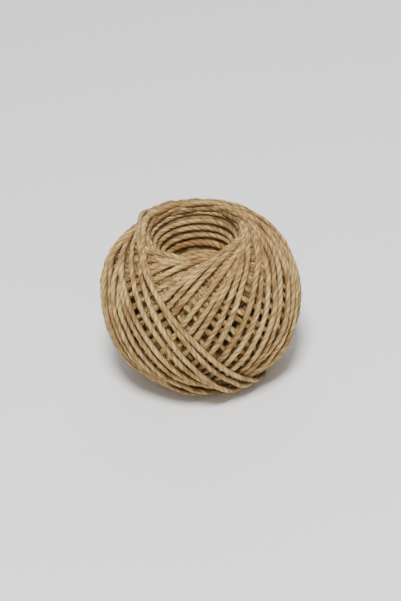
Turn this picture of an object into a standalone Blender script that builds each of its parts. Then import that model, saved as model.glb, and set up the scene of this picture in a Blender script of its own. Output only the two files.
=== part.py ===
"""Ball of twine, wound round a spindle, so that an hourglass-shaped eye runs right through it.

Metres, +Z up. The origin is on the floor, under the middle of the ball's outline.
The wound form is one turned section. The main twists are raised in its points.
"""
import math

import bmesh
import bpy
import numpy as np

PART = "twine_ball"

# Driving sizes of the wound form
BALL_WIDTH = 0.0640
WOUND_HEIGHT = 0.0511
CREST_RADIUS = 0.0174
NECK_RADIUS = 0.0092
FLAT_DEPTH = 0.0006

# Fullness of the section: 2 is an ellipse's quarter, and more is squarer
OUTER_FULLNESS = 2.5
EYE_FULLNESS = 2.1

# Twists: each ridge on the outside is a band of neighbouring turns, in the order they were laid
BAND_WIDTH = 0.0084
BAND_HEIGHT = 0.0022
BAND_EDGE_SHARE = 0.3
BAND_COUNT = 11
FIRST_BAND_DEG = -82.0
BAND_SWEEP_DEG = 172.0
BAND_LEAN_DEG = 55.0
LEAN_SWING_DEG = 5.0
LEAN_SWING_STEP_RAD = 2.4

# The eye's wall: stacked coils, from just under the lip to just over the foot
EYE_COIL_HEIGHT = 0.0004
EYE_LIP_STEPS = 2

# Raising fades out over the crest, so that the eye stays as round as its spindle, and near the
# flat spot that the ball stands on
CREST_FADE = 0.004
FLAT_FADE = 0.0012

# Facets
AROUND = 96
OUTER_STEPS = 43
EYE_STEPS = 20
SECTION_SAMPLES = 721
MERGE_DISTANCE = 0.00005

# Uneven build of the ball: where it swells or falls short of the turned form
SWELL_COLUMNS = ("bearing_deg", "height_deg", "rise", "spread_deg")
SWELLS = (
    (-46.0, -38.0, 0.0010, 34.0),
    (134.0, 34.0, 0.0006, 34.0),
    (-118.0, -40.0, -0.0009, 30.0),
    (60.0, -10.0, 0.0004, 40.0),
)

TWINE_COLOR = (0.42, 0.27, 0.13, 1.0)
TWINE_ROUGHNESS = 0.9
SMOOTH_ANGLE_DEG = 60.0


def clear_scene():
    """Remove every object that the file started with."""
    for obj in list(bpy.data.objects):
        bpy.data.objects.remove(obj, do_unlink=True)


def section_radius(level, outside):
    """Radius of the outer side or of the eye's wall; level runs from -1 at the foot to 1 at the crest."""
    reach = BALL_WIDTH / 2 if outside else NECK_RADIUS
    fullness = OUTER_FULLNESS if outside else EYE_FULLNESS
    share = (1 - np.abs(level) ** fullness) ** (1 / fullness)
    return CREST_RADIUS + (reach - CREST_RADIUS) * share


def even_steps(outside, steps):
    """Points (radius, height) from the top crest to the foot, the same distance apart."""
    level = np.cos(np.linspace(0, math.pi, SECTION_SAMPLES))
    path = np.column_stack([section_radius(level, outside), (1 + level) * WOUND_HEIGHT / 2])
    run = np.concatenate([[0.0], np.cumsum(np.linalg.norm(np.diff(path, axis=0), axis=1))])
    wanted = np.linspace(0, run[-1], steps + 1)
    return np.column_stack([np.interp(wanted, run, path[:, axis]) for axis in (0, 1)])


def section_loop():
    """Closed section, down the outer side and up the eye, whose wall steps in and out as stacked coils."""
    outer = even_steps(True, OUTER_STEPS)
    eye = even_steps(False, EYE_STEPS)[::-1]
    eye[EYE_LIP_STEPS + 1:-EYE_LIP_STEPS:2, 0] -= EYE_COIL_HEIGHT
    eye[EYE_LIP_STEPS:-EYE_LIP_STEPS:2, 0] += EYE_COIL_HEIGHT
    loop = np.concatenate([outer, eye[1:-1]])
    loop[:, 1] = np.maximum(loop[:, 1] - FLAT_DEPTH, 0.0)
    return loop


def turned_mesh(name, loop):
    """The mesh that a section makes when it is turned about Z."""
    profile = bpy.data.meshes.new(name + "_section")
    bm = bmesh.new()
    corners = [bm.verts.new((radius, 0.0, height)) for radius, height in loop]
    for start, end in zip(corners, corners[1:] + corners[:1]):
        bm.edges.new((start, end))
    bm.to_mesh(profile)
    bm.free()

    turner = bpy.data.objects.new(name + "_turner", profile)
    bpy.context.scene.collection.objects.link(turner)
    screw = turner.modifiers.new("Turn", "SCREW")
    screw.axis = "Z"
    screw.angle = 2 * math.pi
    screw.steps = AROUND
    screw.render_steps = AROUND
    screw.use_merge_vertices = True
    screw.merge_threshold = MERGE_DISTANCE
    depsgraph = bpy.context.evaluated_depsgraph_get()
    mesh = bpy.data.meshes.new_from_object(turner.evaluated_get(depsgraph))
    bpy.data.objects.remove(turner, do_unlink=True)
    mesh.name = name
    return mesh


def directions(points):
    """Unit vectors from the ball's middle to its points, and the points' distances from it."""
    arms = points - np.array([0.0, 0.0, WOUND_HEIGHT / 2 - FLAT_DEPTH])
    reach = np.linalg.norm(arms, axis=1)
    return arms / reach[:, None], reach


def unit(bearing_deg, height_deg):
    """Unit vector at a bearing from +X and a height above the horizon."""
    bearing, height = math.radians(bearing_deg), math.radians(height_deg)
    flat = math.cos(height)
    return np.array([flat * math.cos(bearing), flat * math.sin(bearing), math.sin(height)])


def swell(ways):
    """Rise of the uneven build at each direction."""
    total = np.zeros(len(ways))
    for row in SWELLS:
        place = dict(zip(SWELL_COLUMNS, row))
        away = np.degrees(np.arccos(np.clip(ways @ unit(place["bearing_deg"], place["height_deg"]), -1, 1)))
        total += place["rise"] * np.exp(-((away / place["spread_deg"]) ** 2))
    return total


def twists(ways, reach):
    """Rise of the bands: each one crosses over those laid before it."""
    height = np.zeros(len(ways))
    for k in range(BAND_COUNT):
        turn = FIRST_BAND_DEG + BAND_SWEEP_DEG * k / (BAND_COUNT - 1)
        lean = BAND_LEAN_DEG + LEAN_SWING_DEG * math.sin(LEAN_SWING_STEP_RAD * k)
        pole = unit(turn - 90.0, 90.0 - lean)
        off_centre = reach * np.arcsin(np.clip(ways @ pole, -1, 1)) / BAND_WIDTH
        cover = np.clip(1 - 2 * np.abs(off_centre), 0, 1)
        band = np.sin(cover * math.pi / 2)
        crown = BAND_EDGE_SHARE + (1 - BAND_EDGE_SHARE) * band
        height = height * (1 - band) + crown * band
    return BAND_HEIGHT * (height - height.mean())


def raised_share(points):
    """How much of the raising each point takes: none in the eye or on the flat spot."""
    from_axis = np.hypot(points[:, 0], points[:, 1])
    past_crest = np.clip((from_axis - CREST_RADIUS) / CREST_FADE + 0.5, 0, 1)
    above_flat = np.clip(points[:, 2] / FLAT_FADE, 0, 1)
    return past_crest * above_flat


def raise_points(mesh):
    """Move the points along their normals by the twists and the uneven build, and centre the outline."""
    points = np.array([vert.co for vert in mesh.vertices])
    normals = np.array([vert.normal for vert in mesh.vertices])
    ways, reach = directions(points)
    rise = (twists(ways, reach) + swell(ways)) * raised_share(points)
    points += normals * rise[:, None]
    points[:, 2] = np.maximum(points[:, 2], 0.0)
    middle = (points.min(axis=0) + points.max(axis=0)) / 2
    points[:, :2] -= middle[:2]
    mesh.vertices.foreach_set("co", points.astype(np.float32).ravel())
    mesh.update()


def split_faces(mesh):
    """Split each outer face along its shorter diagonal, which is the one that runs along a ridge."""
    bm = bmesh.new()
    bm.from_mesh(mesh)
    outer = [face for face in bm.faces if face.calc_center_median().xy.length > CREST_RADIUS]
    bmesh.ops.triangulate(bm, faces=outer, quad_method="SHORT_EDGE")
    bm.to_mesh(mesh)
    bm.free()


def twine_material():
    """Natural jute: matt, warm tan."""
    material = bpy.data.materials.new("natural_jute")
    material.use_nodes = True
    shader = material.node_tree.nodes["Principled BSDF"]
    shader.inputs["Base Color"].default_value = TWINE_COLOR
    shader.inputs["Roughness"].default_value = TWINE_ROUGHNESS
    shader.inputs["Metallic"].default_value = 0.0
    material.diffuse_color = TWINE_COLOR
    return material


def build():
    """Make the ball in a collection of its own."""
    clear_scene()
    group = bpy.data.collections.new("ball_of_twine")
    bpy.context.scene.collection.children.link(group)
    mesh = turned_mesh(PART, section_loop())
    raise_points(mesh)
    split_faces(mesh)
    mesh.shade_smooth()
    mesh.set_sharp_from_angle(angle=math.radians(SMOOTH_ANGLE_DEG))
    mesh.materials.clear()
    mesh.materials.append(twine_material())
    group.objects.link(bpy.data.objects.new(PART, mesh))


build()
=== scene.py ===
"""Ball of natural jute twine, dressed over its solid in one shared frame.

The height of each turn is worked out twice. From the last turn to the first, each one is pressed under
the outline and under those that cross it. From the first to the last, each one is then drawn down onto
what lies under it. The outer and inner turns are twisted strands, and the oldest are the relief of an
under-winding; the inner turns and the under-winding are darkened with painted shade. Coils of the same
twine line the eye, and loose fibres stand off the outer turns.
"""

import math

import bmesh
import bpy
import numpy as np
from bpy.props import FloatProperty, FloatVectorProperty, IntProperty, PointerProperty
from mathutils import Matrix, Vector


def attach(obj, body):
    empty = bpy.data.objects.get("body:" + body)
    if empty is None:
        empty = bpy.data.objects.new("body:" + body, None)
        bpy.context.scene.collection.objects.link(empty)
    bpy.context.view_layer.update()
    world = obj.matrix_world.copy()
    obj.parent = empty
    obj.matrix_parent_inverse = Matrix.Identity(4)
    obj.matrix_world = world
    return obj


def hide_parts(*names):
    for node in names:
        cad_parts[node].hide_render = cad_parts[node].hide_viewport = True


bl_info = {
    "name": "Ball of Twine",
    "version": (1, 0, 0),
    "blender": (4, 5, 0),
    "location": "View3D > Sidebar > Twine",
    "description": "Winds a ball of jute twine and sets it on a pale studio floor",
    "category": "Object",
}

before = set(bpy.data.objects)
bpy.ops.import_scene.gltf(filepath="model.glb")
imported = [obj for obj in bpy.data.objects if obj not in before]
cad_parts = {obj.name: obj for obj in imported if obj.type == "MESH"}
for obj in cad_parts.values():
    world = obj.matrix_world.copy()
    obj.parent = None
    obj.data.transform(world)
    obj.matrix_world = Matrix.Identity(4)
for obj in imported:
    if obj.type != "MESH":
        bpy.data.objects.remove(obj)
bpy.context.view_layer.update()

NODE = "twine_ball"
BODY = "root"
MM = 0.001

# Wound form, as in the part's source: a turned section with an hourglass eye
CREST_RADIUS = 17.4 * MM
NECK_RADIUS = 9.2 * MM
OUTER_FULLNESS = 2.5
EYE_FULLNESS = 2.1
SECTION_SAMPLES = 721
MIDDLE = np.array([0.0, 0.0, 25.4 * MM])

# Uneven build of the ball: where it swells or falls short of the turned form
SWELL_COLUMNS = ("bearing_deg", "height_deg", "rise_mm", "spread_deg")
SWELLS = (
    (-46.0, -38.0, 1.0, 34.0),
    (134.0, 34.0, 0.6, 34.0),
    (-118.0, -40.0, -0.9, 30.0),
    (60.0, -10.0, 0.4, 40.0),
    (160.0, 40.0, 1.7, 26.0),
)

# Map of the ball's directions, by polar angle and bearing
MAP_ROWS = 300
MAP_COLUMNS = 480
OPEN_AIR = 1.0

# A map notes a strand's top, middle line or underside, on lines across it and shares of a step along it
TOP = 1
MIDDLE_LINE = 0
UNDERSIDE = -1
MARK_LINES = np.linspace(-0.98, 0.98, 13)
MARK_SHARES = (0.0, 1 / 3, 2 / 3)

# Strands touch along these lines, in strand radii from the middle line
TOUCH_LINES = np.linspace(-0.85, 0.85, 7)
MEAN_REACH = 32.0 * MM

# Twine presses into the turns under it, by this many strand radii on the sides and round the eye
SIDE_SINK = 0.42
RIM_SINK = 1.82

# Polar angles up to which the turns are fully crowded round the eye, and at which that ends
CROWD_FULL_DEG = 35.0
CROWD_ENDS_DEG = 48.0
REST_FULL_DEG = 38.0
REST_ENDS_DEG = 52.0

# Taut twine stays as low as its lowest place within this many steps, and rises gently further on
SPAN_STEPS = 4
RISE_STEPS = 30
RISE_A_STEP = 0.12 * MM
EASE_STEPS = 3

# Drawn taut, it rests on its highest places within this many steps
TAUT_STEPS = 7

# A stretch joins the next one in about this many steps, and the last steps of a turn don't press on it
JOIN_STEPS = 6.0
LAG_STEPS = 13

# Unevenness of the pressed turns, in strand radii, and how often it comes and goes in a turn
PRESS_WANDER = 0.12
PRESS_WANDERS_A_TURN = 12
PRESS_SEED = 3

# The oldest turns stay this near to the outline, and clear of the coils that line the eye
DEEPEST_SIDE = 4.6 * MM
DEEPEST_RIM = 2.8 * MM
REST_RIM = 1.9 * MM
LEAST_RADIUS = 13.6 * MM

# The turns swing nearer to the eye and further out again in this many turns
SWING_TURNS = 5.3

# The last turn lies closer to the one before it, and the spacing of the others wanders, in turns
LAST_TURN_CLOSER = 0.6
SPACING_WANDER = 0.22
SPACING_WANDER_TURNS = 1.9
SPACING_SEED = 5

# The last turn stops short by this share of a turn, where it slips into the lower mouth of the eye
STOPS_SHORT = 0.25
SLIP_SHARE = 0.05
SLIP_DEPTH = 3.0 * MM

# Facets: rings of points in each turn and round a coil, and sides of a strand
STEPS_A_TURN = 260
COIL_STEPS = 110
OUTER_SIDES = 12
INNER_SIDES = 8

# Pieces that the turns are made in, and the painted shade that darkens the colours of what lies deeper
OUTER_PIECES = 4
INNER_PIECES = 2
INNER_PAINTED_SHADE = 0.62
UNDER_PAINTED_SHADE = 0.35

# Strand section: grooves between the plies, lumps in each ply, and a little flattening under tension
PLIES = 3
GROOVE_DEPTH = 0.2
PLY_LUMPS = 0.07
FLATTENING = 0.98
WIDENING = 1.02

# Each wave of lumps: its shift from ply to ply, and its rate along the strand, in radians for each metre
LUMP_WAVES = ((2.1, 310.0), (4.3, 730.0))

# Thick and thin places along the twine: share of its thickness, and their length
THICKNESS_WANDER = 0.1
THICKNESS_WAVELENGTH = 0.03
THICKNESS_SEED = 11
THICKNESS_OCTAVES = 4

# The foot is pressed flat on the floor, to within this
FOOT_UNEVENNESS = 0.02 * MM
FOOT_WAVE = 900.0

# Points nearer than this are one
WELD_DISTANCE = 0.001 * MM

# Under-winding: how far it lies inside the outline, behind the eye's coils and over the floor
UNDER_DEPTH = 4.8 * MM
UNDER_RIM_DEPTH = 2.8 * MM
UNDER_LEAST_DEPTH = 2.4 * MM
UNDER_CREST_DROP = 1.7 * MM
UNDER_EYE_SET_BACK = 0.45
UNDER_FLOOR_GAP = 0.3 * MM
UNDER_AROUND = 300
UNDER_OUTER_STEPS = 150
UNDER_EYE_STEPS = 40

# Coils that line the eye: height over the ball's middle, and thickness in strands
COIL_COLUMNS = ("height_mm", "thickness", "set_back_mm", "tilt_mm", "tilt_bearing_deg")
EYE_COILS = (
    (23.2, 1.0, 0.5, 0.2, 80.0),
    (21.4, 1.0, 0.1, 0.4, 250.0),
    (19.1, 1.0, 0.0, 0.5, 200.0),
    (17.0, 1.0, 0.0, 0.5, 280.0),
    (14.1, 1.4, 0.0, 0.5, 240.0),
    (10.7, 1.4, 0.0, 0.6, 300.0),
    (7.8, 1.1, 0.0, 0.6, 60.0),
    (5.6, 1.0, 0.0, 0.5, 180.0),
    (3.6, 1.0, 0.0, 0.4, 300.0),
    (1.7, 1.0, 0.0, 0.5, 20.0),
    (-0.2, 1.0, 0.0, 0.5, 140.0),
    (-2.2, 1.0, 0.0, 0.5, 260.0),
    (-4.4, 1.0, 0.0, 0.6, 40.0),
    (-6.7, 1.05, 0.0, 0.5, 160.0),
    (-9.0, 1.0, 0.0, 0.6, 280.0),
    (-11.4, 1.1, 0.0, 0.5, 90.0),
    (-13.8, 1.0, 0.0, 0.6, 210.0),
    (-16.2, 1.1, 0.0, 0.5, 330.0),
    (-18.6, 1.0, 0.0, 0.6, 120.0),
    (-20.9, 1.0, 0.0, 0.5, 240.0),
    (-23.0, 1.0, 0.0, 0.4, 0.0),
)
COIL_LEVEL_LIMIT = 0.96
COIL_LENGTH = 0.09

# Loose fibres: rooted just under the strand's surface, leaning along it and thinning to the tip
LOOSE_COUNT = 2200
LOOSE_SEED = 21
LOOSE_POINTS = 5
LOOSE_LENGTHS = (1.5 * MM, 4.5 * MM)
LOOSE_RADIUS = 0.035 * MM
LOOSE_THINNING = 0.6
LOOSE_ROOT_DEPTH = 0.75
LOOSE_LEAN = 1.1
LOOSE_LIFTS = (0.15, 0.8)
LOOSE_BEND = 0.7
LOOSE_RUN_FADE = 0.3
LOOSE_LIFT_FADE = 0.5

# Fibres on the strand: noise cells round it and for each metre of it, and their slant
FIBRES_ROUND = 26.0
FIBRES_A_METRE = 240.0
FIBRE_SLANT = 0.45
FIBRE_DETAIL = 3.0
FIBRE_ROUGHNESS = 0.62

# Patches of colour along the strand, and a tone of each ply's own
PATCHES_A_METRE = 38.0
PATCH_DETAIL = 2.0
PLY_TONES_A_METRE = 110.0
PLY_TONE_STEP = 7.3
PLY_TONE_DETAIL = 2.0

# What each noise adds to the share of straw, to the dark share and to the roughness: factor and offset
FIBRE_LIGHT = (3.6, -1.35)
PATCH_LIGHT = (1.6, -0.8)
PLY_LIGHT = (2.4, -1.2)
FIBRE_DARK = (-3.6, 1.75)
ROUGHNESS_RANGE = (-0.25, 0.95)

# Strength of the umber in the dark fibres, and of the painted shade in umber in the ply grooves and on the
# flanks where turns touch
DARK_STRENGTH = 0.75
GROOVE_SHADE_STRENGTH = 0.6
GROOVE_SHADE_SHARPNESS = 1.5
FLANK_SHADE_STRENGTH = 0.6
FLANK_SHADE_START = 0.7

# Surface of the strands
BUMP_STRENGTH = 0.6
BUMP_DISTANCE = 0.2 * MM
SPECULAR_LEVEL = 0.3
SHEEN = 0.06
SHEEN_ROUGHNESS = 0.5

# Surface of single fibres: their tones for each metre, and the share of straw as factor and offset
SINGLE_TONES_A_METRE = 300.0
SINGLE_LIGHT = (3.0, -1.0)
SINGLE_ROUGHNESS = 0.7

# Picture: the ball's place and width in it, in pixels
PICTURE_SIZE = (401, 601)
BALL_PIXELS_WIDE = 201.0
BALL_CENTRE_PX = (201.5, 296.5)
SENSOR_MM = 36.0
CLIP_RANGE = (0.01, 20.0)

# Studio
FLOOR_HALF_WIDTH = 3.0
FLOOR_ROUGHNESS = 0.9
SKY_COLOUR = (1.0, 1.0, 1.0, 1.0)
SKY_STRENGTH = 0.3
LIGHT_COLUMNS = ("name", "place", "size", "power")
LIGHTS = (
    ("key_light", (0.0, -0.38, 0.93), 0.28, 14.5),
    ("fill_light", (0.1, -0.9, 0.3), 0.8, 1.5),
    ("back_light", (0.1, 0.8, 0.6), 0.7, 2.0),
)

# The winding is worked out once, and kept here for the pieces that are made from it
WOUND = {}


class BallSizes(bpy.types.PropertyGroup):
    """Sizes of the ball and its winding."""

    width: FloatProperty(
        name="Width", description="Width of the ball over its strands",
        default=66.0 * MM, unit="LENGTH", subtype="DISTANCE")
    height: FloatProperty(
        name="Height", description="Height of the wound form, before its foot is flattened",
        default=52.4 * MM, unit="LENGTH", subtype="DISTANCE")
    strand: FloatProperty(
        name="Strand", description="Thickness of the twine",
        default=1.82 * MM, unit="LENGTH", subtype="DISTANCE")
    ply_pitch: FloatProperty(
        name="Ply pitch", description="Length of twine in which a ply goes once round",
        default=8.0 * MM, unit="LENGTH", subtype="DISTANCE")
    turns_a_round: IntProperty(
        name="Turns a round", description="Turns laid while the winding goes once round the ball",
        default=46)
    buried_turns: IntProperty(
        name="Buried turns", description="Oldest turns, which show only as relief between the strands",
        default=40)
    inner_turns: IntProperty(
        name="Inner turns", description="Turns that are seen through the gaps of the outer ones",
        default=48)
    outer_turns: IntProperty(
        name="Outer turns", description="Last turns, which lie on the outside",
        default=56)
    last_bearing: FloatProperty(
        name="Last bearing", description="Bearing at which the last turn climbs over the ball's middle",
        default=math.radians(90.0), subtype="ANGLE")
    rim_nearest: FloatProperty(
        name="Nearest to the eye", description="Polar angle at which the closest turns pass the eye",
        default=math.radians(31.0), subtype="ANGLE")
    rim_spread: FloatProperty(
        name="Rim spread", description="How much further out the widest turns pass the eye",
        default=math.radians(5.5), subtype="ANGLE")


class TwineColours(bpy.types.PropertyGroup):
    """Colours of the jute and of the floor."""

    straw: FloatVectorProperty(
        name="Straw", description="Lightest fibres", subtype="COLOR", size=3,
        default=(0.68, 0.47, 0.185), min=0.0, max=1.0)
    tan: FloatVectorProperty(
        name="Tan", description="Most of the twine", subtype="COLOR", size=3,
        default=(0.27, 0.145, 0.045), min=0.0, max=1.0)
    # Umber also stands for painted shade in the ply grooves and on the strands' flanks
    umber: FloatVectorProperty(
        name="Umber", description="Dark fibres, grooves and the flanks of the strands",
        subtype="COLOR", size=3, default=(0.07, 0.031, 0.009), min=0.0, max=1.0)
    floor: FloatVectorProperty(
        name="Floor", description="Plain floor under the ball", subtype="COLOR", size=3,
        default=(0.93, 0.93, 0.93), min=0.0, max=1.0)


class StageSizes(bpy.types.PropertyGroup):
    """Where the ball is seen from."""

    elevation: FloatProperty(
        name="Elevation", description="Height of the camera above the horizon",
        default=math.radians(34.0), subtype="ANGLE")
    roll: FloatProperty(
        name="Roll", description="Lean of the camera, which tips the ball to the left",
        default=math.radians(6.0), subtype="ANGLE")
    distance: FloatProperty(
        name="Distance", description="From the camera to the ball's middle",
        default=0.62, unit="LENGTH", subtype="DISTANCE")


# Wound form


def section_radius(level, outside, half_width):
    """Radius of the outer side or of the eye's wall; level runs from -1 at the foot to 1 at the crest."""
    reach = half_width if outside else NECK_RADIUS
    fullness = OUTER_FULLNESS if outside else EYE_FULLNESS
    share = (1 - np.abs(level) ** fullness) ** (1 / fullness)
    return CREST_RADIUS + (reach - CREST_RADIUS) * share


def unit(bearing_deg, height_deg):
    """Unit vector at a bearing from +X and a height above the horizon."""
    bearing, height = math.radians(bearing_deg), math.radians(height_deg)
    flat = math.cos(height)
    return np.array([flat * math.cos(bearing), flat * math.sin(bearing), math.sin(height)])


def swell(ways):
    """Rise of the uneven build at each direction from the ball's middle."""
    total = np.zeros(ways.shape[:-1])
    for row in SWELLS:
        place = dict(zip(SWELL_COLUMNS, row))
        toward = ways @ unit(place["bearing_deg"], place["height_deg"])
        away = np.degrees(np.arccos(np.clip(toward, -1, 1)))
        total += place["rise_mm"] * MM * np.exp(-((away / place["spread_deg"]) ** 2))
    return total


def outer_reach(ways, sizes):
    """Distance from the middle to the ball's outline in each direction."""
    level = np.cos(np.linspace(0, math.pi, SECTION_SAMPLES))
    radius = section_radius(level, True, sizes.width / 2)
    height = level * sizes.height / 2
    polar = np.arccos(np.clip(ways[..., 2], -1, 1))
    reach = np.interp(polar, np.arctan2(radius, height), np.hypot(radius, height))
    return reach + swell(ways)


def slow_noise(place, seed, octaves=3):
    """Smooth wander between -1 and 1 along a run; place is in wavelengths."""
    rng = np.random.default_rng(seed)
    total = np.zeros(len(place))
    for octave in range(octaves):
        rate = 2.0 ** octave * rng.uniform(0.8, 1.2)
        total += np.sin(2 * math.pi * (rate * place + rng.uniform())) / (octave + 1)
    return total / sum(1 / (octave + 1) for octave in range(octaves))


# Maps of the ball's directions


def cells(ways):
    """Row and column of each direction in a map of the ball's directions."""
    polar = np.arccos(np.clip(ways[..., 2], -1, 1))
    bearing = np.arctan2(ways[..., 1], ways[..., 0])
    row = np.clip((polar * MAP_ROWS / math.pi).astype(int), 0, MAP_ROWS - 1)
    column = ((bearing + math.pi) * MAP_COLUMNS / (2 * math.pi)).astype(int) % MAP_COLUMNS
    return row, column


def cell_ways():
    """Direction of the middle of each cell of a map."""
    polar = (np.arange(MAP_ROWS)[:, None] + 0.5) * math.pi / MAP_ROWS
    bearing = (np.arange(MAP_COLUMNS)[None, :] + 0.5) * 2 * math.pi / MAP_COLUMNS - math.pi
    flat = np.sin(polar)
    return np.stack(np.broadcast_arrays(
        flat * np.cos(bearing), flat * np.sin(bearing), np.cos(polar)), axis=-1)


def mark(chart, best, ways, side, reach, radius, face):
    """Note in a map where twine lies, by its top, its middle line or its underside."""
    for share in MARK_SHARES:
        way = ways[:-1] * (1 - share) + ways[1:] * share
        along = side[:-1] * (1 - share) + side[1:] * share
        level = reach[:-1] * (1 - share) + reach[1:] * share
        for offset in MARK_LINES:
            angle = offset * radius / level[:, None]
            beside = way * np.cos(angle) + along * np.sin(angle)
            best.at(chart, cells(beside), level + face * radius * math.sqrt(1 - offset * offset))


def lowest_nearby(chart):
    """A map in which each cell takes the lowest value of the cells round it."""
    chart = np.minimum(chart, np.minimum(np.roll(chart, 1, axis=1), np.roll(chart, -1, axis=1)))
    chart[1:] = np.minimum(chart[1:], chart[:-1])
    chart[:-1] = np.minimum(chart[:-1], chart[1:])
    return chart


# Winding: pressed from the last turn to the first, then settled from the first to the last


def all_turns(sizes):
    """Count of all the turns, from the oldest to the last."""
    return sizes.buried_turns + sizes.inner_turns + sizes.outer_turns


def turn_ways(turns, sizes):
    """Direction from the middle at each place along the twine, where turns counts turns laid."""
    to_go = all_turns(sizes) - turns
    wander = slow_noise(turns / SPACING_WANDER_TURNS, SPACING_SEED)
    to_go = to_go - LAST_TURN_CLOSER * np.clip(to_go, 0, 1) + SPACING_WANDER * wander
    bearing = sizes.last_bearing - to_go * 2 * math.pi / sizes.turns_a_round
    swing = 0.5 + 0.5 * np.sin(turns * 2 * math.pi / SWING_TURNS)
    lean = math.pi / 2 - sizes.rim_nearest - sizes.rim_spread * swing
    angle = 2 * math.pi * turns
    along, across = np.cos(angle), np.sin(angle) * np.cos(lean)
    return np.stack([
        along * np.cos(bearing) - across * np.sin(bearing),
        along * np.sin(bearing) + across * np.cos(bearing),
        np.sin(angle) * np.sin(lean)], axis=-1)


def sideways(ways):
    """Unit vectors along the ball's surface, square to the twine's run."""
    side = np.cross(ways, np.gradient(ways, axis=0))
    return side / np.linalg.norm(side, axis=-1, keepdims=True)


def round_eye(ways, full_deg=CROWD_FULL_DEG, ends_deg=CROWD_ENDS_DEG):
    """How near to the eye a direction is, and so how crowded its turns: 0 on the sides and 1 at the rim."""
    polar = np.degrees(np.arccos(np.clip(np.abs(ways[..., 2]), 0, 1)))
    share = np.clip((ends_deg - polar) / (ends_deg - full_deg), 0, 1)
    return share * share * (3 - 2 * share)


def between(side_value, rim_value, share):
    """A value that changes from the sides to the rim of the eye."""
    return side_value + (rim_value - side_value) * share


def windows(values, steps):
    """The values within a number of steps of each place."""
    padded = np.pad(values, steps, mode="edge")
    return np.lib.stride_tricks.sliding_window_view(padded, 2 * steps + 1)


def eased(values, steps):
    """Values smoothed over a number of steps to each side."""
    weights = np.hanning(2 * steps + 3)[1:-1]
    padded = np.pad(values, steps, mode="edge")
    return np.convolve(padded, weights / weights.sum(), mode="valid")


def held_down(reach):
    """Reach of taut twine, which can't rise steeply beside a low place."""
    away = np.abs(np.arange(-RISE_STEPS, RISE_STEPS + 1))
    rise = np.maximum(away - SPAN_STEPS, 0) * RISE_A_STEP
    return eased((windows(reach, RISE_STEPS) + rise).min(axis=1), EASE_STEPS)


def bumps(ways, side, radius):
    """Directions across the twine's width, and how far its middle keeps from what it touches there."""
    sink = between(SIDE_SINK, RIM_SINK, round_eye(ways))
    for offset in TOUCH_LINES:
        angle = offset * radius / MEAN_REACH
        beside = ways * math.cos(angle) + side * math.sin(angle)
        yield beside, radius * (math.sqrt(1 - offset * offset) - sink)


def press_turn(ceiling, turns, sizes):
    """Reach of one stretch of twine, as high as the outline and the turns laid over it let it lie."""
    radius = sizes.strand / 2
    ways = turn_ways(turns, sizes)
    side = sideways(ways)
    outline = outer_reach(ways, sizes)
    wander = slow_noise(turns * PRESS_WANDERS_A_TURN, PRESS_SEED)
    reach = outline - radius + PRESS_WANDER * radius * wander
    for beside, bump in bumps(ways, side, radius):
        reach = np.minimum(reach, ceiling[cells(beside)] - bump)
    deepest = between(DEEPEST_SIDE, DEEPEST_RIM, round_eye(ways))
    reach = np.maximum(reach, outline - deepest - radius)
    reach = np.maximum(reach, LEAST_RADIUS / np.hypot(ways[:, 0], ways[:, 1]))
    return ways, side, held_down(reach)


def settle_turn(support, ways, side, reach, sizes):
    """Reach of one stretch of twine once it is drawn down onto the highest places under it."""
    radius = sizes.strand / 2
    resting = np.zeros(len(reach))
    for beside, bump in bumps(ways, side, radius):
        resting = np.maximum(resting, support[cells(beside)] + bump)
    taut = eased(windows(resting, TAUT_STEPS).max(axis=1), EASE_STEPS)
    return np.minimum(reach, taut)


def joined(reach, neighbour, at_end):
    """The reach of a stretch, eased into the reach of the stretch that it meets."""
    fade = np.exp(-np.arange(len(reach)) / JOIN_STEPS)
    if at_end:
        return reach + (neighbour - reach[-1]) * fade[::-1]
    return reach + (neighbour - reach[0]) * fade


def press_all(sizes):
    """Directions, sideways directions and pressed reach of each turn, worked out from the last one."""
    radius = sizes.strand / 2
    count = all_turns(sizes)
    ceiling = np.full((MAP_ROWS, MAP_COLUMNS), OPEN_AIR)
    laid = [None] * count
    waiting = None
    for k in range(count - 1, -1, -1):
        turns = k + np.arange(STEPS_A_TURN + 1) / STEPS_A_TURN
        ways, side, reach = press_turn(ceiling, turns, sizes)
        if waiting:
            reach = joined(reach, laid[k + 1][2][0], at_end=True)
            mark(ceiling, np.minimum, *waiting, radius, UNDERSIDE)
        laid[k] = ways, side, reach
        mark(ceiling, np.minimum, *(part[LAG_STEPS:] for part in laid[k]), radius, UNDERSIDE)
        waiting = [part[:LAG_STEPS + 1] for part in laid[k]]
    return laid


def settle_all(laid, sizes):
    """Draw each pressed turn down onto those laid before it, from the first one."""
    radius = sizes.strand / 2
    every_way = cell_ways()
    rest_depth = between(DEEPEST_SIDE, REST_RIM, round_eye(every_way, REST_FULL_DEG, REST_ENDS_DEG))
    support = outer_reach(every_way, sizes) - rest_depth
    waiting = None
    for k in range(len(laid)):
        ways, side, reach = laid[k]
        reach = settle_turn(support, ways, side, reach, sizes)
        if waiting:
            reach = joined(reach, laid[k - 1][2][-1], at_end=False)
            mark(support, np.maximum, *waiting, radius, TOP)
        laid[k] = ways, side, reach
        mark(support, np.maximum, *(part[:-LAG_STEPS] for part in laid[k]), radius, TOP)
        waiting = [part[-LAG_STEPS - 1:] for part in laid[k]]


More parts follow.
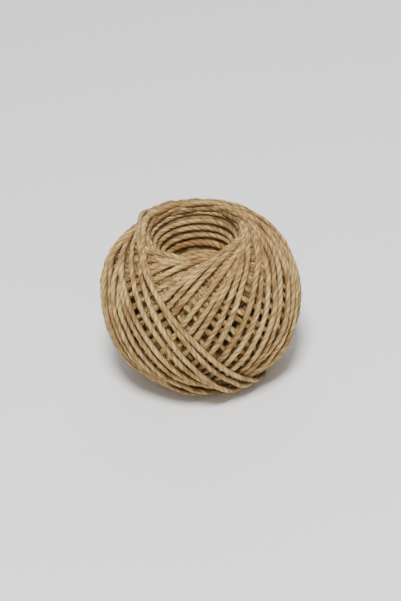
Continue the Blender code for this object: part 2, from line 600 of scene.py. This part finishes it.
def wound_twine(sizes):
    """Directions, reach, lengths and radii along the whole winding, worked out once."""
    if "twine" not in WOUND:
        laid = press_all(sizes)
        settle_all(laid, sizes)
        ways = np.concatenate([ways[:-1] for ways, _, _ in laid])
        reach = np.concatenate([reach[:-1] for _, _, reach in laid])
        last = len(reach) - int(STOPS_SHORT * STEPS_A_TURN)
        slip = int(SLIP_SHARE * STEPS_A_TURN)
        reach[last - slip:last] -= SLIP_DEPTH * np.linspace(0, 1, slip) ** 2
        lengths = run_lengths(ways * reach[:, None])
        wander = slow_noise(lengths / THICKNESS_WAVELENGTH, THICKNESS_SEED, THICKNESS_OCTAVES)
        radii = sizes.strand / 2 * (1 + THICKNESS_WANDER * wander)
        WOUND["twine"] = ways, reach, lengths, radii
    return WOUND["twine"]


# Twine as a mesh


def run_lengths(middle):
    """Length along a line of points, at each point."""
    return np.concatenate([[0.0], np.cumsum(np.linalg.norm(np.diff(middle, axis=0), axis=1))])


def rolled_points(path, round_share, along_share):
    """Places of grid points on the twisted surface of one path, and their lengths along it."""
    middle, outward, radii, start = path
    run = np.gradient(middle, axis=0)
    run /= np.linalg.norm(run, axis=1, keepdims=True)
    outward = outward - (outward * run).sum(axis=1, keepdims=True) * run
    outward /= np.linalg.norm(outward, axis=1, keepdims=True)
    beside = np.cross(run, outward)
    lengths = start + run_lengths(middle)
    row = np.rint(along_share * (len(middle) - 1)).astype(int)
    angle = 2 * math.pi * round_share
    pitch = bpy.context.scene.ball_sizes.ply_pitch
    phase = PLIES * (round_share + lengths[row] / pitch)
    lobe = np.abs(np.cos(math.pi * phase))
    ply = np.mod(np.rint(phase), PLIES)
    lumps = sum(np.sin(ply * shift + lengths[row] * rate) for shift, rate in LUMP_WAVES)
    radius = radii[row] * (1 - GROOVE_DEPTH * (1 - lobe)) * (1 + PLY_LUMPS / 2 * lobe * lumps)
    up = -np.cos(angle) * radius * FLATTENING
    across = np.sin(angle) * radius * WIDENING
    places = middle[row] + outward[row] * up[:, None] + beside[row] * across[:, None]
    return places, lengths[row]


def flat_grids(name, paths, sides):
    """Mesh of one flat grid for each path, with the path's number as its height."""
    bm = bmesh.new()
    bm.loops.layers.uv.new("strand")
    for index, (middle, *_) in enumerate(paths):
        bmesh.ops.create_grid(
            bm, x_segments=sides, y_segments=len(middle) - 1, size=0.5, calc_uvs=True,
            matrix=Matrix.Translation((0.0, 0.0, float(index))))
    mesh = bpy.data.meshes.new(name)
    bm.to_mesh(mesh)
    bm.free()
    return mesh


def rolled_grid(name, paths, sides):
    """Mesh of closed tubes: each path is a flat grid whose points are rolled round the path's middle line.

    A path is (middle points, outward directions, radii, start length), and the grid's own UV map runs
    once round the twine and, in metres, along it.
    """
    mesh = flat_grids(name, paths, sides)
    flat = np.empty(len(mesh.vertices) * 3, dtype=np.float32)
    mesh.vertices.foreach_get("co", flat)
    flat = flat.reshape(-1, 3)
    round_share, along_share, index = flat[:, 0] + 0.5, flat[:, 1] + 0.5, np.rint(flat[:, 2]).astype(int)
    rolled = np.empty((len(flat), 3))
    along_m = np.empty(len(flat))
    for number, path in enumerate(paths):
        mine = index == number
        rolled[mine], along_m[mine] = rolled_points(path, round_share[mine], along_share[mine])
    rolled[:, 2] = np.maximum(rolled[:, 2], FOOT_UNEVENNESS * (1 + np.sin(along_m * FOOT_WAVE)))

    corners = np.empty(len(mesh.loops), dtype=np.int32)
    mesh.loops.foreach_get("vertex_index", corners)
    uv = np.column_stack([round_share[corners], along_m[corners]]).astype(np.float32)
    mesh.uv_layers["strand"].data.foreach_set("uv", uv.ravel())
    mesh.vertices.foreach_set("co", rolled.astype(np.float32).ravel())
    close_tubes(mesh, sides)
    return mesh


def close_tubes(mesh, sides):
    """Join the long edges of rolled grids, and cap their open ends."""
    bm = bmesh.new()
    bm.from_mesh(mesh)
    bmesh.ops.remove_doubles(bm, verts=[v for v in bm.verts if v.is_boundary], dist=WELD_DISTANCE)
    ends = [e for e in bm.edges if e.is_boundary]
    if ends:
        bmesh.ops.holes_fill(bm, edges=ends, sides=sides)
    bmesh.ops.recalc_face_normals(bm, faces=bm.faces[:])
    bm.to_mesh(mesh)
    bm.free()
    mesh.shade_smooth()


def mesh_of_curve(curve):
    """The curve's own tubes as a mesh, with their caps joined on."""
    guide = bpy.data.objects.new(curve.name + "_guide", curve)
    bpy.context.scene.collection.objects.link(guide)
    mesh = bpy.data.meshes.new_from_object(guide.evaluated_get(bpy.context.evaluated_depsgraph_get()))
    bpy.data.objects.remove(guide, do_unlink=True)
    bm = bmesh.new()
    bm.from_mesh(mesh)
    bmesh.ops.remove_doubles(bm, verts=bm.verts[:], dist=WELD_DISTANCE)
    bmesh.ops.recalc_face_normals(bm, faces=bm.faces[:])
    bm.to_mesh(mesh)
    bm.free()
    mesh.shade_smooth()
    return mesh


def turned_mesh(name, loop, around):
    """The mesh that a closed section (radius, height) makes when it is turned about Z."""
    mesh = bpy.data.meshes.new(name)
    bm = bmesh.new()
    corners = [bm.verts.new((radius, 0.0, height)) for radius, height in loop]
    for start, end in zip(corners, corners[1:] + corners[:1]):
        bm.edges.new((start, end))
    bmesh.ops.spin(
        bm, geom=bm.verts[:] + bm.edges[:], cent=(0, 0, 0), axis=(0, 0, 1), angle=2 * math.pi,
        steps=around, use_merge=True, use_duplicate=False)
    bmesh.ops.recalc_face_normals(bm, faces=bm.faces[:])
    bm.to_mesh(mesh)
    bm.free()
    mesh.shade_smooth()
    return mesh


# Pieces


def dress(name, mesh, material):
    """Make a finished piece that stands for the solid ball."""
    mesh.name = name
    mesh.materials.clear()
    mesh.materials.append(material)
    piece = bpy.data.objects.new(name, mesh)
    bpy.context.scene.collection.objects.link(piece)
    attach(piece, BODY)
    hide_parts(NODE)


def build_strands(name, sizes, first, last, pieces, sides, material):
    """Build the twine from one count of turns to another, in pieces of the same length."""
    ways, reach, lengths, radii = wound_twine(sizes)
    cuts = np.rint(np.linspace(first, last, pieces + 1) * STEPS_A_TURN).astype(int)
    for number, (start, end) in enumerate(zip(cuts[:-1], cuts[1:]), 1):
        run = slice(start, end + 1)
        middle = MIDDLE + ways[run] * reach[run, None]
        path = (middle, ways[run], radii[run], lengths[start])
        dress(f"{name}_{number}", rolled_grid(name, [path], sides), material)


class TWINE_OT_outer_turns(bpy.types.Operator):
    """Build the last turns, which lie on the outside"""

    bl_idname = "twine.outer_turns"
    bl_label = "Outer turns"

    def execute(self, context):
        sizes = context.scene.ball_sizes
        material = jute_material("jute_outer_turns", context.scene.twine_colours)
        first = sizes.buried_turns + sizes.inner_turns
        last = all_turns(sizes) - STOPS_SHORT
        build_strands("outer_turns", sizes, first, last, OUTER_PIECES, OUTER_SIDES, material)
        return {"FINISHED"}


class TWINE_OT_inner_turns(bpy.types.Operator):
    """Build the turns that are seen through the gaps of the outer ones"""

    bl_idname = "twine.inner_turns"
    bl_label = "Inner turns"

    def execute(self, context):
        sizes = context.scene.ball_sizes
        # Painted shade: the inner turns' colours are darkened, as they lie in the shade of the outer turns
        material = jute_material("jute_inner_turns_painted_shade", context.scene.twine_colours, INNER_PAINTED_SHADE)
        first = sizes.buried_turns
        last = first + sizes.inner_turns
        build_strands("inner_turns", sizes, first, last, INNER_PIECES, INNER_SIDES, material)
        return {"FINISHED"}


class TWINE_OT_loose_fibres(bpy.types.Operator):
    """Build the fine fibres that stand off the outer turns"""

    bl_idname = "twine.loose_fibres"
    bl_label = "Loose fibres"

    def execute(self, context):
        sizes = context.scene.ball_sizes
        ways, reach, _, radii = wound_twine(sizes)
        side = sideways(ways)
        rng = np.random.default_rng(LOOSE_SEED)
        first = (sizes.buried_turns + sizes.inner_turns) * STEPS_A_TURN
        share = np.linspace(0, 1, LOOSE_POINTS)
        taper = (1 - LOOSE_THINNING * share).tolist()
        fibres = bpy.data.curves.new("loose_fibres", "CURVE")
        fibres.dimensions = "3D"
        fibres.bevel_depth = LOOSE_RADIUS
        fibres.bevel_resolution = 0
        fibres.use_fill_caps = True
        for place in rng.integers(first, len(reach) - STEPS_A_TURN, LOOSE_COUNT):
            points = self.course(rng, ways[place], side[place], reach[place], radii[place], share)
            fibre = fibres.splines.new("POLY")
            fibre.points.add(LOOSE_POINTS - 1)
            fibre.points.foreach_set("co", np.column_stack([points, np.ones(LOOSE_POINTS)]).ravel())
            fibre.points.foreach_set("radius", taper)
        mesh = mesh_of_curve(fibres)
        dress("loose_fibres", mesh, fibre_material("jute_loose_fibres", context.scene.twine_colours))
        return {"FINISHED"}

    @staticmethod
    def course(rng, way, side, reach, radius, share):
        """Points of one fibre, from its root in the strand to its tip."""
        run = np.cross(way, side) * rng.choice((-1, 1))
        lean = rng.uniform(-LOOSE_LEAN, LOOSE_LEAN)
        outward = way * math.cos(lean) + side * math.sin(lean)
        root = MIDDLE + way * reach + outward * radius * LOOSE_ROOT_DEPTH
        length = rng.uniform(*LOOSE_LENGTHS)
        lift, bend = rng.uniform(*LOOSE_LIFTS), rng.uniform(-LOOSE_BEND, LOOSE_BEND)
        course = run * (1 - LOOSE_RUN_FADE * share[:, None])
        course = course + outward * (lift * (1 - LOOSE_LIFT_FADE * share))[:, None]
        course = course + np.cross(run, outward) * (bend * share)[:, None]
        points = root + course * (length * share)[:, None]
        points[:, 2] = np.maximum(points[:, 2], 2 * LOOSE_RADIUS)
        return points


class TWINE_OT_under_winding(bpy.types.Operator):
    """Build the winding that shows between the outer turns, darkened with painted shade, with the relief of
    its own turns
    """

    bl_idname = "twine.under_winding"
    bl_label = "Under-winding"

    def execute(self, context):
        sizes = context.scene.ball_sizes
        mesh = turned_mesh("under_winding", self.section(sizes), UNDER_AROUND)
        points = np.empty(len(mesh.vertices) * 3, dtype=np.float32)
        mesh.vertices.foreach_get("co", points)
        points = points.reshape(-1, 3).astype(float)
        arms = points - MIDDLE
        way = arms / np.linalg.norm(arms, axis=1)[:, None]
        outside = np.hypot(points[:, 0], points[:, 1]) > CREST_RADIUS
        risen = self.risen(way, sizes)
        points[outside] = MIDDLE + way[outside] * risen[outside][:, None]
        points[:, 2] = np.maximum(points[:, 2], UNDER_FLOOR_GAP)
        mesh.vertices.foreach_set("co", points.astype(np.float32).ravel())
        # Painted shade: the under-winding's colours are darkened, as it lies deep in the shade of the turns
        # over it
        material = fibre_material("jute_under_winding_painted_shade", context.scene.twine_colours, UNDER_PAINTED_SHADE)
        dress("under_winding", mesh, material)
        return {"FINISHED"}

    @staticmethod
    def risen(way, sizes):
        """Reach of the relief of the oldest turns, kept under the turns that lie over it."""
        ways, reach, _, _ = wound_twine(sizes)
        radius = sizes.strand / 2
        first = sizes.buried_turns * STEPS_A_TURN
        side = sideways(ways)
        relief = np.zeros((MAP_ROWS, MAP_COLUMNS))
        mark(relief, np.maximum, ways[:first], side[:first], reach[:first], radius, TOP)
        lowest = np.full((MAP_ROWS, MAP_COLUMNS), OPEN_AIR)
        mark(lowest, np.minimum, ways[first:], side[first:], reach[first:], radius, MIDDLE_LINE)
        lowest = lowest_nearby(lowest)
        least = outer_reach(way, sizes) - between(UNDER_DEPTH, UNDER_RIM_DEPTH, round_eye(way))
        most = np.minimum(lowest[cells(way)], outer_reach(way, sizes) - UNDER_LEAST_DEPTH)
        return np.minimum(np.maximum(relief[cells(way)], least), most)

    @staticmethod
    def section(sizes):
        """Closed section of the under-winding: down the outer side and up behind the eye's coils."""
        level = np.cos(np.linspace(0, math.pi, UNDER_OUTER_STEPS + 1))
        outer = np.column_stack([
            section_radius(level, True, sizes.width / 2 - UNDER_DEPTH), level * sizes.height / 2])
        level = np.cos(np.linspace(math.pi, 0, UNDER_EYE_STEPS + 1))
        eye = np.column_stack([
            section_radius(level, False, 0) + sizes.strand * UNDER_EYE_SET_BACK,
            level * (sizes.height / 2)])
        loop = np.concatenate([outer, eye[1:-1]])
        loop[:, 1] = MIDDLE[2] + loop[:, 1] * (1 - 2 * UNDER_CREST_DROP / sizes.height)
        return loop


class TWINE_OT_eye_coils(bpy.types.Operator):
    """Build the coils that line the eye"""

    bl_idname = "twine.eye_coils"
    bl_label = "Eye coils"

    def execute(self, context):
        sizes = context.scene.ball_sizes
        bearing = np.linspace(0, 2 * math.pi, COIL_STEPS + 1)
        paths = []
        start = 0.0
        for row in EYE_COILS:
            coil = dict(zip(COIL_COLUMNS, row))
            radius = sizes.strand / 2 * coil["thickness"]
            tilt = coil["tilt_mm"] * MM * np.cos(bearing - math.radians(coil["tilt_bearing_deg"]))
            height = coil["height_mm"] * MM + tilt
            level = np.clip(height / (sizes.height / 2), -COIL_LEVEL_LIMIT, COIL_LEVEL_LIMIT)
            reach = section_radius(level, False, 0) + radius + coil["set_back_mm"] * MM
            middle = np.column_stack([
                reach * np.cos(bearing), reach * np.sin(bearing), MIDDLE[2] + height])
            outward = np.column_stack([-np.cos(bearing), -np.sin(bearing), 0 * bearing])
            paths.append((middle, outward, np.full(len(bearing), radius), start))
            start += COIL_LENGTH
        mesh = rolled_grid("eye_coils", paths, OUTER_SIDES)
        dress("eye_coils", mesh, jute_material("jute_eye_coils", context.scene.twine_colours))
        return {"FINISHED"}


# Materials


def add_node(tree, kind, name=None, **settings):
    """Add a node with its settings; numbers and colours in inputs go to its sockets by name or index."""
    node = tree.nodes.new(kind)
    inputs = settings.pop("inputs", {})
    for key, value in settings.items():
        setattr(node, key, value)
    for key, value in inputs.items():
        socket = node.inputs[key]
        if isinstance(value, bpy.types.NodeSocket):
            tree.links.new(value, socket)
        else:
            socket.default_value = value
    if name:
        node.label = name
    return node


def math_node(tree, operation, *values, clamp=False):
    """A Math node's output for its values, which are numbers or sockets."""
    return add_node(
        tree, "ShaderNodeMath", operation=operation, use_clamp=clamp,
        inputs=dict(enumerate(values))).outputs[0]


def mix_colour(tree, share, first, second):
    """A colour mixed from two, by a share that is a number or a socket."""
    return add_node(
        tree, "ShaderNodeMix", data_type="RGBA", inputs={0: share, 6: first, 7: second}).outputs[2]


def new_group(name, sockets_in, sockets_out):
    """A node group with named sockets, as (tree, what it is given, what it puts out)."""
    tree = bpy.data.node_groups.new(name, "ShaderNodeTree")
    for sockets, in_out in ((sockets_in, "INPUT"), (sockets_out, "OUTPUT")):
        for socket, kind in sockets.items():
            tree.interface.new_socket(socket, in_out=in_out, socket_type="NodeSocket" + kind)
    given = tree.nodes.new("NodeGroupInput").outputs
    result = tree.nodes.new("NodeGroupOutput").inputs
    return tree, given, result


def fibre_group():
    """Jute on twisted plies: colour with painted shade in the ply grooves and on the flanks, relief and
    roughness from the strand's own UV map.
    """
    name = "Jute fibres"
    if name in bpy.data.node_groups:
        return bpy.data.node_groups[name]
    tree, given, result = new_group(
        name,
        {"Strand UV": "Vector", "Straw": "Color", "Tan": "Color", "Umber": "Color", "Ply Pitch": "Float"},
        {"Color": "Color", "Relief": "Float", "Roughness": "Float"})

    parts = add_node(tree, "ShaderNodeSeparateXYZ", inputs={0: given["Strand UV"]}).outputs
    around, along = parts[0], parts[1]
    twist = math_node(tree, "DIVIDE", along, given["Ply Pitch"])
    phase = math_node(tree, "ADD", around, twist)
    lobe = math_node(tree, "ABSOLUTE", math_node(tree, "COSINE", math_node(
        tree, "MULTIPLY", phase, math.pi * PLIES)))
    # Mask of painted shade in the ply grooves, strongest midway between the crowns of the plies
    painted_groove_shade = math_node(tree, "POWER", math_node(tree, "SUBTRACT", 1.0, lobe), GROOVE_SHADE_SHARPNESS)

    slant = math_node(tree, "MULTIPLY_ADD", twist, FIBRE_SLANT, around)
    fibre_uv = add_node(tree, "ShaderNodeCombineXYZ", inputs={
        0: math_node(tree, "MULTIPLY", slant, FIBRES_ROUND),
        1: math_node(tree, "MULTIPLY", along, FIBRES_A_METRE)}).outputs[0]
    fibre = add_node(tree, "ShaderNodeTexNoise", "Fibres", noise_dimensions="2D", inputs={
        "Vector": fibre_uv, "Scale": 1.0, "Detail": FIBRE_DETAIL, "Roughness": FIBRE_ROUGHNESS}).outputs[0]
    patch = add_node(tree, "ShaderNodeTexNoise", "Patches of colour", noise_dimensions="1D", inputs={
        "W": math_node(tree, "MULTIPLY", along, PATCHES_A_METRE), "Scale": 1.0,
        "Detail": PATCH_DETAIL}).outputs[0]
    ply_phase = math_node(tree, "MULTIPLY_ADD", phase, float(PLIES), 0.5)
    ply = math_node(tree, "FLOOR", math_node(tree, "FLOORED_MODULO", ply_phase, float(PLIES)))
    ply_uv = add_node(tree, "ShaderNodeCombineXYZ", inputs={
        0: math_node(tree, "MULTIPLY", ply, PLY_TONE_STEP),
        1: math_node(tree, "MULTIPLY", along, PLY_TONES_A_METRE)}).outputs[0]
    ply_tone = add_node(tree, "ShaderNodeTexNoise", "Tone of each ply", noise_dimensions="2D", inputs={
        "Vector": ply_uv, "Scale": 1.0, "Detail": PLY_TONE_DETAIL}).outputs[0]
    light = math_node(tree, "MULTIPLY_ADD", fibre, *FIBRE_LIGHT)
    light = math_node(tree, "ADD", light, math_node(tree, "MULTIPLY_ADD", patch, *PATCH_LIGHT))
    ply_light = math_node(tree, "MULTIPLY_ADD", ply_tone, *PLY_LIGHT)
    light = math_node(tree, "ADD", light, ply_light, clamp=True)

    base = mix_colour(tree, light, given["Tan"], given["Straw"])
    dark = math_node(tree, "MULTIPLY_ADD", fibre, *FIBRE_DARK, clamp=True)
    # Mask of painted shade on the strand's flanks and on its side towards the ball, where turns touch
    inward = math_node(tree, "COSINE", math_node(tree, "MULTIPLY", around, 2 * math.pi))
    painted_flank_shade = math_node(tree, "ADD", inward, FLANK_SHADE_START, clamp=True)
    # Umber is mixed in for dark fibres, which are the twine's own tone, and as painted shade in the grooves
    # and on the flanks
    for mask, strength in ((dark, DARK_STRENGTH), (painted_groove_shade, GROOVE_SHADE_STRENGTH), (painted_flank_shade, FLANK_SHADE_STRENGTH)):
        base = mix_colour(tree, math_node(tree, "MULTIPLY", mask, strength), base, given["Umber"])
    tree.links.new(base, result["Color"])
    tree.links.new(fibre, result["Relief"])
    tree.links.new(math_node(tree, "MULTIPLY_ADD", fibre, *ROUGHNESS_RANGE), result["Roughness"])
    return tree


def single_fibre_group():
    """Single jute fibres, some lighter than others: colour from a place on the object."""
    name = "Single fibres"
    if name in bpy.data.node_groups:
        return bpy.data.node_groups[name]
    tree, given, result = new_group(
        name, {"Place": "Vector", "Lighter": "Color", "Darker": "Color"}, {"Color": "Color"})
    tone = add_node(tree, "ShaderNodeTexNoise", "Tone of each fibre", inputs={
        "Vector": given["Place"], "Scale": SINGLE_TONES_A_METRE, "Detail": 0.0}).outputs[0]
    share = math_node(tree, "MULTIPLY_ADD", tone, *SINGLE_LIGHT, clamp=True)
    tree.links.new(mix_colour(tree, share, given["Darker"], given["Lighter"]), result["Color"])
    return tree


def new_material(name):
    """A material with its node tree and its shader."""
    material = bpy.data.materials.new(name)
    material.use_nodes = True
    return material, material.node_tree, material.node_tree.nodes["Principled BSDF"]


def shaded(colour, shade):
    """A colour with its alpha, darkened with painted shade where shade is under 1."""
    return (*(part * shade for part in colour), 1.0)


def jute_material(name, colours, shade=1.0):
    """Matt jute with fine fibres, from the strand's UV map; shade under 1 darkens its colours with painted
    shade, for turns that lie deeper.
    """
    material, tree, shader = new_material(name)
    fibres = add_node(tree, "ShaderNodeGroup", node_tree=fibre_group(), inputs={
        "Strand UV": add_node(tree, "ShaderNodeUVMap", uv_map="strand").outputs[0],
        "Straw": shaded(colours.straw, shade),
        "Tan": shaded(colours.tan, shade),
        "Umber": shaded(colours.umber, shade),
        "Ply Pitch": bpy.context.scene.ball_sizes.ply_pitch}).outputs
    bump = add_node(tree, "ShaderNodeBump", inputs={
        "Strength": BUMP_STRENGTH, "Distance": BUMP_DISTANCE, "Height": fibres["Relief"]}).outputs[0]
    tree.links.new(fibres["Color"], shader.inputs["Base Color"])
    tree.links.new(fibres["Roughness"], shader.inputs["Roughness"])
    tree.links.new(bump, shader.inputs["Normal"])
    shader.inputs["Specular IOR Level"].default_value = SPECULAR_LEVEL
    shader.inputs["Sheen Weight"].default_value = SHEEN
    shader.inputs["Sheen Roughness"].default_value = SHEEN_ROUGHNESS
    return material


def fibre_material(name, colours, shade=1.0):
    """Single jute fibres; shade under 1 darkens their colours with painted shade, for what lies deeper."""
    material, tree, shader = new_material(name)
    colour = add_node(tree, "ShaderNodeGroup", node_tree=single_fibre_group(), inputs={
        "Place": add_node(tree, "ShaderNodeTexCoord").outputs["Object"],
        "Lighter": shaded(colours.straw, shade),
        "Darker": shaded(colours.tan, shade)}).outputs["Color"]
    tree.links.new(colour, shader.inputs["Base Color"])
    shader.inputs["Roughness"].default_value = SINGLE_ROUGHNESS
    return material


# Stage


class TWINE_OT_stage(bpy.types.Operator):
    """Set the ball on a pale floor with soft light and a camera"""

    bl_idname = "twine.stage"
    bl_label = "Stage"

    def execute(self, context):
        self.floor(context)
        for row in LIGHTS:
            self.light(context, **dict(zip(LIGHT_COLUMNS, row)))
        self.sky(context)
        self.camera(context)
        return {"FINISHED"}

    @staticmethod
    def floor(context):
        """Lay the plain floor."""
        mesh = bpy.data.meshes.new("floor")
        bm = bmesh.new()
        bmesh.ops.create_grid(bm, x_segments=2, y_segments=2, size=FLOOR_HALF_WIDTH)
        bm.to_mesh(mesh)
        bm.free()
        floor = bpy.data.objects.new("floor", mesh)
        material, _, shader = new_material("floor_paper")
        shader.inputs["Base Color"].default_value = (*context.scene.twine_colours.floor, 1.0)
        shader.inputs["Roughness"].default_value = FLOOR_ROUGHNESS
        mesh.materials.append(material)
        context.scene.collection.objects.link(floor)

    @staticmethod
    def light(context, name, place, size, power):
        """Hang a round soft light that faces the ball's middle."""
        data = bpy.data.lights.new(name, "AREA")
        data.shape = "DISK"
        data.size = size
        data.energy = power
        lamp = bpy.data.objects.new(name, data)
        lamp.location = place
        lamp.rotation_euler = (Vector(MIDDLE) - Vector(place)).to_track_quat("-Z", "Y").to_euler()
        context.scene.collection.objects.link(lamp)

    @staticmethod
    def sky(context):
        """Light the scene evenly from all round."""
        world = bpy.data.worlds.new("studio")
        world.use_nodes = True
        background = world.node_tree.nodes["Background"].inputs
        background["Color"].default_value = SKY_COLOUR
        background["Strength"].default_value = SKY_STRENGTH
        context.scene.world = world

    @staticmethod
    def camera(context):
        """Set up the camera so that the ball lies in the picture as in the photo."""
        stage, sizes = context.scene.stage_sizes, context.scene.ball_sizes
        pixel = sizes.width / BALL_PIXELS_WIDE
        data = bpy.data.cameras.new("camera")
        data.sensor_width = SENSOR_MM
        data.lens = SENSOR_MM * stage.distance / (PICTURE_SIZE[1] * pixel)
        camera = bpy.data.objects.new("camera", data)
        back = Vector((0.0, -math.cos(stage.elevation), math.sin(stage.elevation)))
        turn = (-back).to_track_quat("-Z", "Y") @ Matrix.Rotation(-stage.roll, 4, "Z").to_quaternion()
        right, up = turn @ Vector((1, 0, 0)), turn @ Vector((0, 1, 0))
        aside = (PICTURE_SIZE[0] / 2 - BALL_CENTRE_PX[0]) * pixel
        above = (BALL_CENTRE_PX[1] - PICTURE_SIZE[1] / 2) * pixel
        camera.rotation_mode = "QUATERNION"
        camera.rotation_quaternion = turn
        camera.location = Vector(MIDDLE) + right * aside + up * above + back * stage.distance
        data.clip_start, data.clip_end = CLIP_RANGE
        context.scene.collection.objects.link(camera)
        context.scene.camera = camera


class TWINE_PT_panel(bpy.types.Panel):
    """Lists the steps of the ball in the sidebar"""

    bl_idname = "TWINE_PT_panel"
    bl_label = "Ball of Twine"
    bl_space_type = "VIEW_3D"
    bl_region_type = "UI"
    bl_category = "Twine"

    def draw(self, context):
        """Draw a button for each step and the values that they use."""
        for operator in OPERATORS:
            self.layout.operator(operator.bl_idname)
        for group in (context.scene.ball_sizes, context.scene.twine_colours, context.scene.stage_sizes):
            box = self.layout.box()
            for name in group.__annotations__:
                box.prop(group, name)


OPERATORS = (
    TWINE_OT_under_winding, TWINE_OT_eye_coils, TWINE_OT_inner_turns, TWINE_OT_outer_turns,
    TWINE_OT_loose_fibres, TWINE_OT_stage)
CLASSES = (BallSizes, TwineColours, StageSizes, *OPERATORS, TWINE_PT_panel)


def register():
    """Add the classes and the scene's values."""
    for cls in CLASSES:
        bpy.utils.register_class(cls)
    bpy.types.Scene.ball_sizes = PointerProperty(type=BallSizes)
    bpy.types.Scene.twine_colours = PointerProperty(type=TwineColours)
    bpy.types.Scene.stage_sizes = PointerProperty(type=StageSizes)


def unregister():
    """Take the scene's values and the classes out again."""
    del bpy.types.Scene.stage_sizes
    del bpy.types.Scene.twine_colours
    del bpy.types.Scene.ball_sizes
    for cls in reversed(CLASSES):
        bpy.utils.unregister_class(cls)


def main():
    """Build every piece and the stage, in order."""
    register()
    bpy.ops.twine.under_winding()
    bpy.ops.twine.eye_coils()
    bpy.ops.twine.inner_turns()
    bpy.ops.twine.outer_turns()
    bpy.ops.twine.loose_fibres()
    bpy.ops.twine.stage()


if __name__ == "__main__":
    main()
